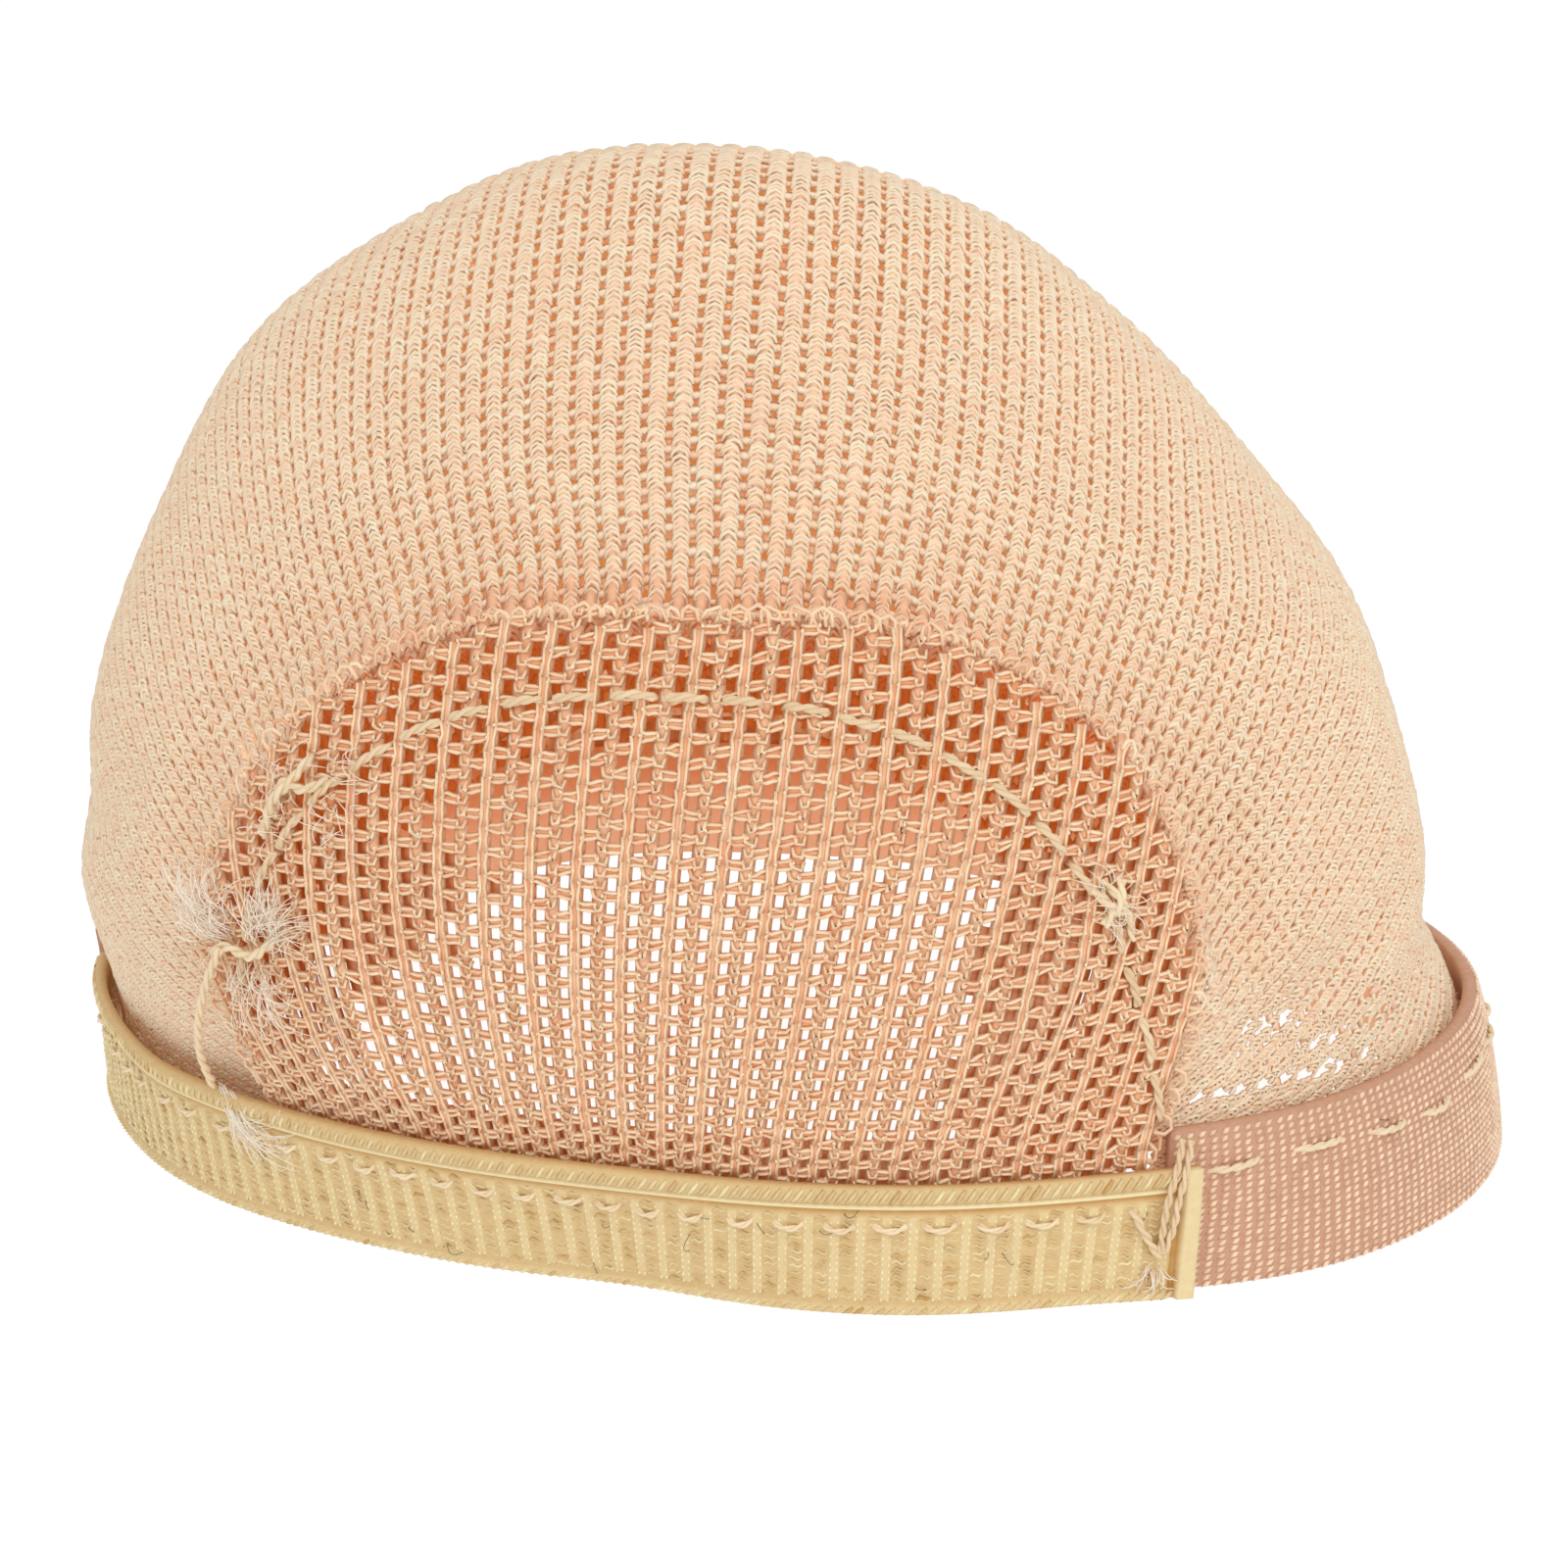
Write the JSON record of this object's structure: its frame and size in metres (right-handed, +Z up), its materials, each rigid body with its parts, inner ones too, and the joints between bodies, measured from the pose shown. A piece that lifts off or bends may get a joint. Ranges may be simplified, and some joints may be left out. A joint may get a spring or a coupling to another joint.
{
  "type": "hair net",
  "caption": "Small knitted mesh hair net of the wig-cap kind for a doll: domed crown, lapped nape panel, woven elastic and tape round the open rim.",
  "frame": {"origin": "middle of the rim's box on the ground plane that the rim stands on", "axes": "+Z up through the crown, -Y towards the nape, +X towards the side where the elastic ends"},
  "size_m": [0.0808, 0.0724, 0.0555],
  "materials": {
    "crown_knit": "peach-beige warp-knitted mesh, right side out",
    "nape_knit": "peach-beige warp-knitted mesh, wrong side out",
    "woven_elastic": "pale yellow ribbed woven elastic with rolled edges",
    "woven_tape": "pinkish beige plain-woven tape"
  },
  "bodies": {
    "root": {"crown_net": "crown_knit", "nape_panel": "nape_knit", "elastic_band": "woven_elastic", "front_tape": "woven_tape"}
  },
  "joints": []
}
